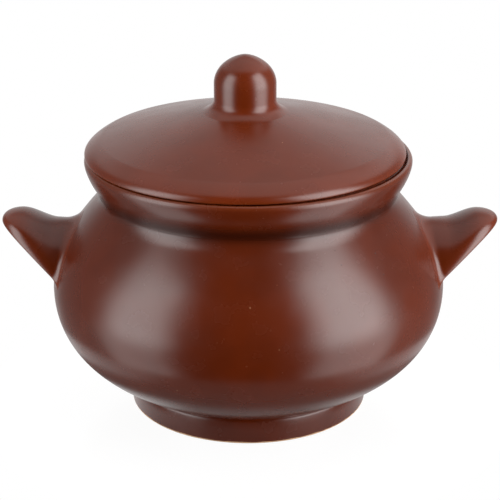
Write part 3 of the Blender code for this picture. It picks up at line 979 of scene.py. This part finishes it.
@dataclass(frozen=True)
class Studio:
    """A pale round board in a room that is white behind and above it and unlit on the camera's side.

    Two tall softboxes light the pot from the sides, and a card under each throws a little light up. The
    board's sizes are millimetres, its zones and the camera's places metres, and angles degrees.
    """

    board_radius: float = 110.0
    board_thickness: float = 4.0
    board_gap: float = 0.2
    board_paint: str = "#8c8c8c"
    board_roughness: float = 0.22
    clear_share: float = 0.72
    glow: float = 1.3
    foot_zone: tuple[Span, ...] = ((0.020, 0.050, 0.24, 1.0), (0.069, 0.059), (-0.05, 0.05, 0.67, 0.51))
    edge_zone: tuple[Span, ...] = ((0.050, 0.080), (0.080, 0.092, 0.0, 0.53))
    ceiling_tilt: float = 0.58
    ceiling_edge: Span = (0.68, 0.82)
    ceiling_level: float = 0.96
    ceiling_tip: float = 0.32
    ceiling_fade: tuple[Span, ...] = ((0.5, 0.7), (0.45, 0.65, 0.0, 0.5))
    walls: tuple[Span, ...] = ((-0.2, 0.1, 0.0, 0.24), (0.65, 1.05, 0.0, 0.65))
    diffuse_level: float = 1.08
    distance: float = 0.700
    elevation: float = 21.07
    roll: float = 0.06
    lens: float = 123.17
    aim: tuple[float, float] = (0.0009, 0.0635)

    def build(self) -> None:
        """Adds the table, the room's light, the lamps and the camera."""
        self.table()
        self.room()
        boxes = {"fade": 20.0, "distance": 2.5}
        cards = {"fade": 12.0, "distance": 2.4}
        Softbox("softbox_left", (-82.5, -46.0), (-19.0, 40.5), radiance=4.9, **boxes).build()
        Softbox("softbox_right", (39.5, 81.5), (-17.0, 46.5), radiance=6.6, **boxes).build()
        Softbox("bounce_card_left", (-92.0, -50.0), (-64.0, -8.0), radiance=1.8, **cards).build()
        Softbox("bounce_card_right", (42.0, 91.0), (-64.0, -6.0), radiance=2.25, **cards).build()
        self.camera()

    def table(self) -> None:
        """The table top: a pale board, which looks white in the picture and keeps the pot's faint shadow."""
        corners = [(0.0, 0.0), (self.board_radius, 0.0), (self.board_radius, -1.0), (0.0, -1.0)]
        mesh = turned_mesh("table", np.array(corners) * (1.0, self.board_thickness), 128)
        mesh.shade_flat()
        mesh.materials.append(self.board())
        piece = shown("table", mesh)
        piece.location = (0.0, 0.0, -self.board_gap * METRES)

    def board(self) -> Material:
        """The board's finish: grey eggshell paint with a white glow over it.

        Camera and transmission rays see so much of the glow that it makes white with the paint's own light.
        Glossy rays see it in two zones that the pot reflects: round the foot, less in front of it, and near
        the board's edge at both sides.
        """
        made = bpy.data.materials.new("polished_pale_board")
        made.use_nodes = True
        tree = made.node_tree
        paint = tree.nodes["Principled BSDF"]
        paint.inputs["Base Color"].default_value = linear(self.board_paint)
        paint.inputs["Roughness"].default_value = self.board_roughness
        glow = add_node(tree, "Emission", {}, {"Color": (1, 1, 1, 1), "Strength": self.glow})
        rays = add_node(tree, "LightPath").node.outputs
        clear = add_node(tree, "Math", GREATER, (rays["Is Camera Ray"], rays["Is Transmission Ray"]))
        place = add_node(tree, "TexCoord", output="Object")
        across = add_node(tree, "SeparateXYZ", {}, (place,))
        aside = add_node(tree, "Math", {"operation": "ABSOLUTE"}, (across,))
        out = add_node(tree, "VectorMath", {"operation": "LENGTH"}, (place,), "Value")
        foot = inside_of(tree, (aside, out, across), self.foot_zone)
        edge = inside_of(tree, (aside, out), self.edge_zone)
        lit = add_node(tree, "Math", GREATER, (foot, edge))
        seen = add_node(tree, "Math", PRODUCT, (clear, self.clear_share))
        mirrored = add_node(tree, "Math", PRODUCT, (rays["Is Glossy Ray"], lit))
        share = add_node(tree, "Math", GREATER, (seen, mirrored))
        both = add_node(tree, "MixShader", {}, (share, paint.outputs[0], glow))
        tree.links.new(both, tree.nodes["Material Output"].inputs["Surface"])
        return made

    def room(self) -> None:
        """The room as light from each direction: white behind and above the pot, unlit on the camera's side.

        With x, y and z a direction's reach to the right, to the back and up, the light is the greater of two.
        The open ceiling is an eased step of z + tilt y, brighter to the right, that fades by half high up at
        the back. The wall is the sum of a step at the pot's sides and one straight behind it. Diffuse rays
        see both a little brighter than glossy ones do. Camera and transmission rays see white all round.
        """
        world = bpy.data.worlds.new("studio_room")
        bpy.context.scene.world = world
        world.use_nodes = True
        tree = world.node_tree
        background = tree.nodes["Background"].inputs
        direction = add_node(tree, "TexCoord", output="Generated")
        x, y, z = add_node(tree, "SeparateXYZ", {}, (direction,)).node.outputs
        tilted = add_node(tree, "Math", SCALED, (y, self.ceiling_tilt, z))
        level = add_node(tree, "Math", SCALED, (x, self.ceiling_tip, self.ceiling_level))
        faded = inside_of(tree, (z, y), self.ceiling_fade)
        ceiling = add_node(tree, "MapRange", EASED, (tilted, *self.ceiling_edge))
        for factor in (add_node(tree, "Math", {"operation": "SUBTRACT"}, (1.0, faded)), level):
            ceiling = add_node(tree, "Math", PRODUCT, (ceiling, factor))
        walls = tuple(add_node(tree, "MapRange", EASED, (y, *span)) for span in self.walls)
        white = add_node(tree, "Math", GREATER, (ceiling, add_node(tree, "Math", SUM, walls)))
        rays = add_node(tree, "LightPath").node.outputs
        clear = add_node(tree, "Math", GREATER, (rays["Is Camera Ray"], rays["Is Transmission Ray"]))
        strength = add_node(tree, "Mix", {}, {0: rays["Is Glossy Ray"], 2: self.diffuse_level, 3: 1.0})
        lit = add_node(tree, "Math", PRODUCT, (white, strength))
        background["Color"].default_value = (1, 1, 1, 1)
        tree.links.new(add_node(tree, "Mix", {}, {0: clear, 2: lit, 3: 1.0}), background["Strength"])

    def camera(self) -> None:
        """The camera at the place worked out from the circles of the foot and the lid."""
        data = bpy.data.cameras.new("camera")
        data.lens = self.lens
        data.sensor_width = 36.0
        holder = shown("camera", data)
        tilt = math.radians(self.elevation)
        back, up = self.distance * math.cos(tilt), self.distance * math.sin(tilt)
        holder.location = (self.aim[0], -back, self.aim[1] + up)
        holder.rotation_euler = (math.pi / 2 - tilt, math.radians(self.roll), 0.0)
        bpy.context.scene.camera = holder


def main() -> None:
    """Builds the pot, the lid and the studio round them."""
    logging.basicConfig(level=logging.INFO)
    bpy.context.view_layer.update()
    bpy.context.scene.view_settings.view_transform = "Standard"

    body = PotBody()
    lid = Lid(body)
    left = LugHandle("handle_left", -1, reach=20.1, saddle_reach=-2.1, crest_rise=3.9, body=body)
    right = LugHandle("handle_right", 1, reach=21.3, saddle_reach=0.4, crest_rise=3.4, body=body)
    # Painted light: a lighter copy of the slip for the lugs, lid and knob, whose tops and far sides catch more
    # light than the body's front.
    red = {"colour": "#5e2006", "clouded": "#591e05"}
    body.build(FootedSlip("satin_brown_slip_body"))
    left.build(SatinSlip("satin_brown_slip_left_lug", shift=(0.3, 0.1, 0.0), **red))
    right.build(SatinSlip("satin_brown_slip_right_lug", shift=(0.1, 0.5, 0.2), **red))
    lid.build(GlazedSlip("satin_brown_slip_lid", shift=(0.7, 0.2, 0.4), **red))
    Knob(lid).build(SatinSlip("satin_brown_slip_knob", shift=(0.7, 0.2, 0.4), **red))
    Studio().build()


if __name__ == "__main__":
    main()
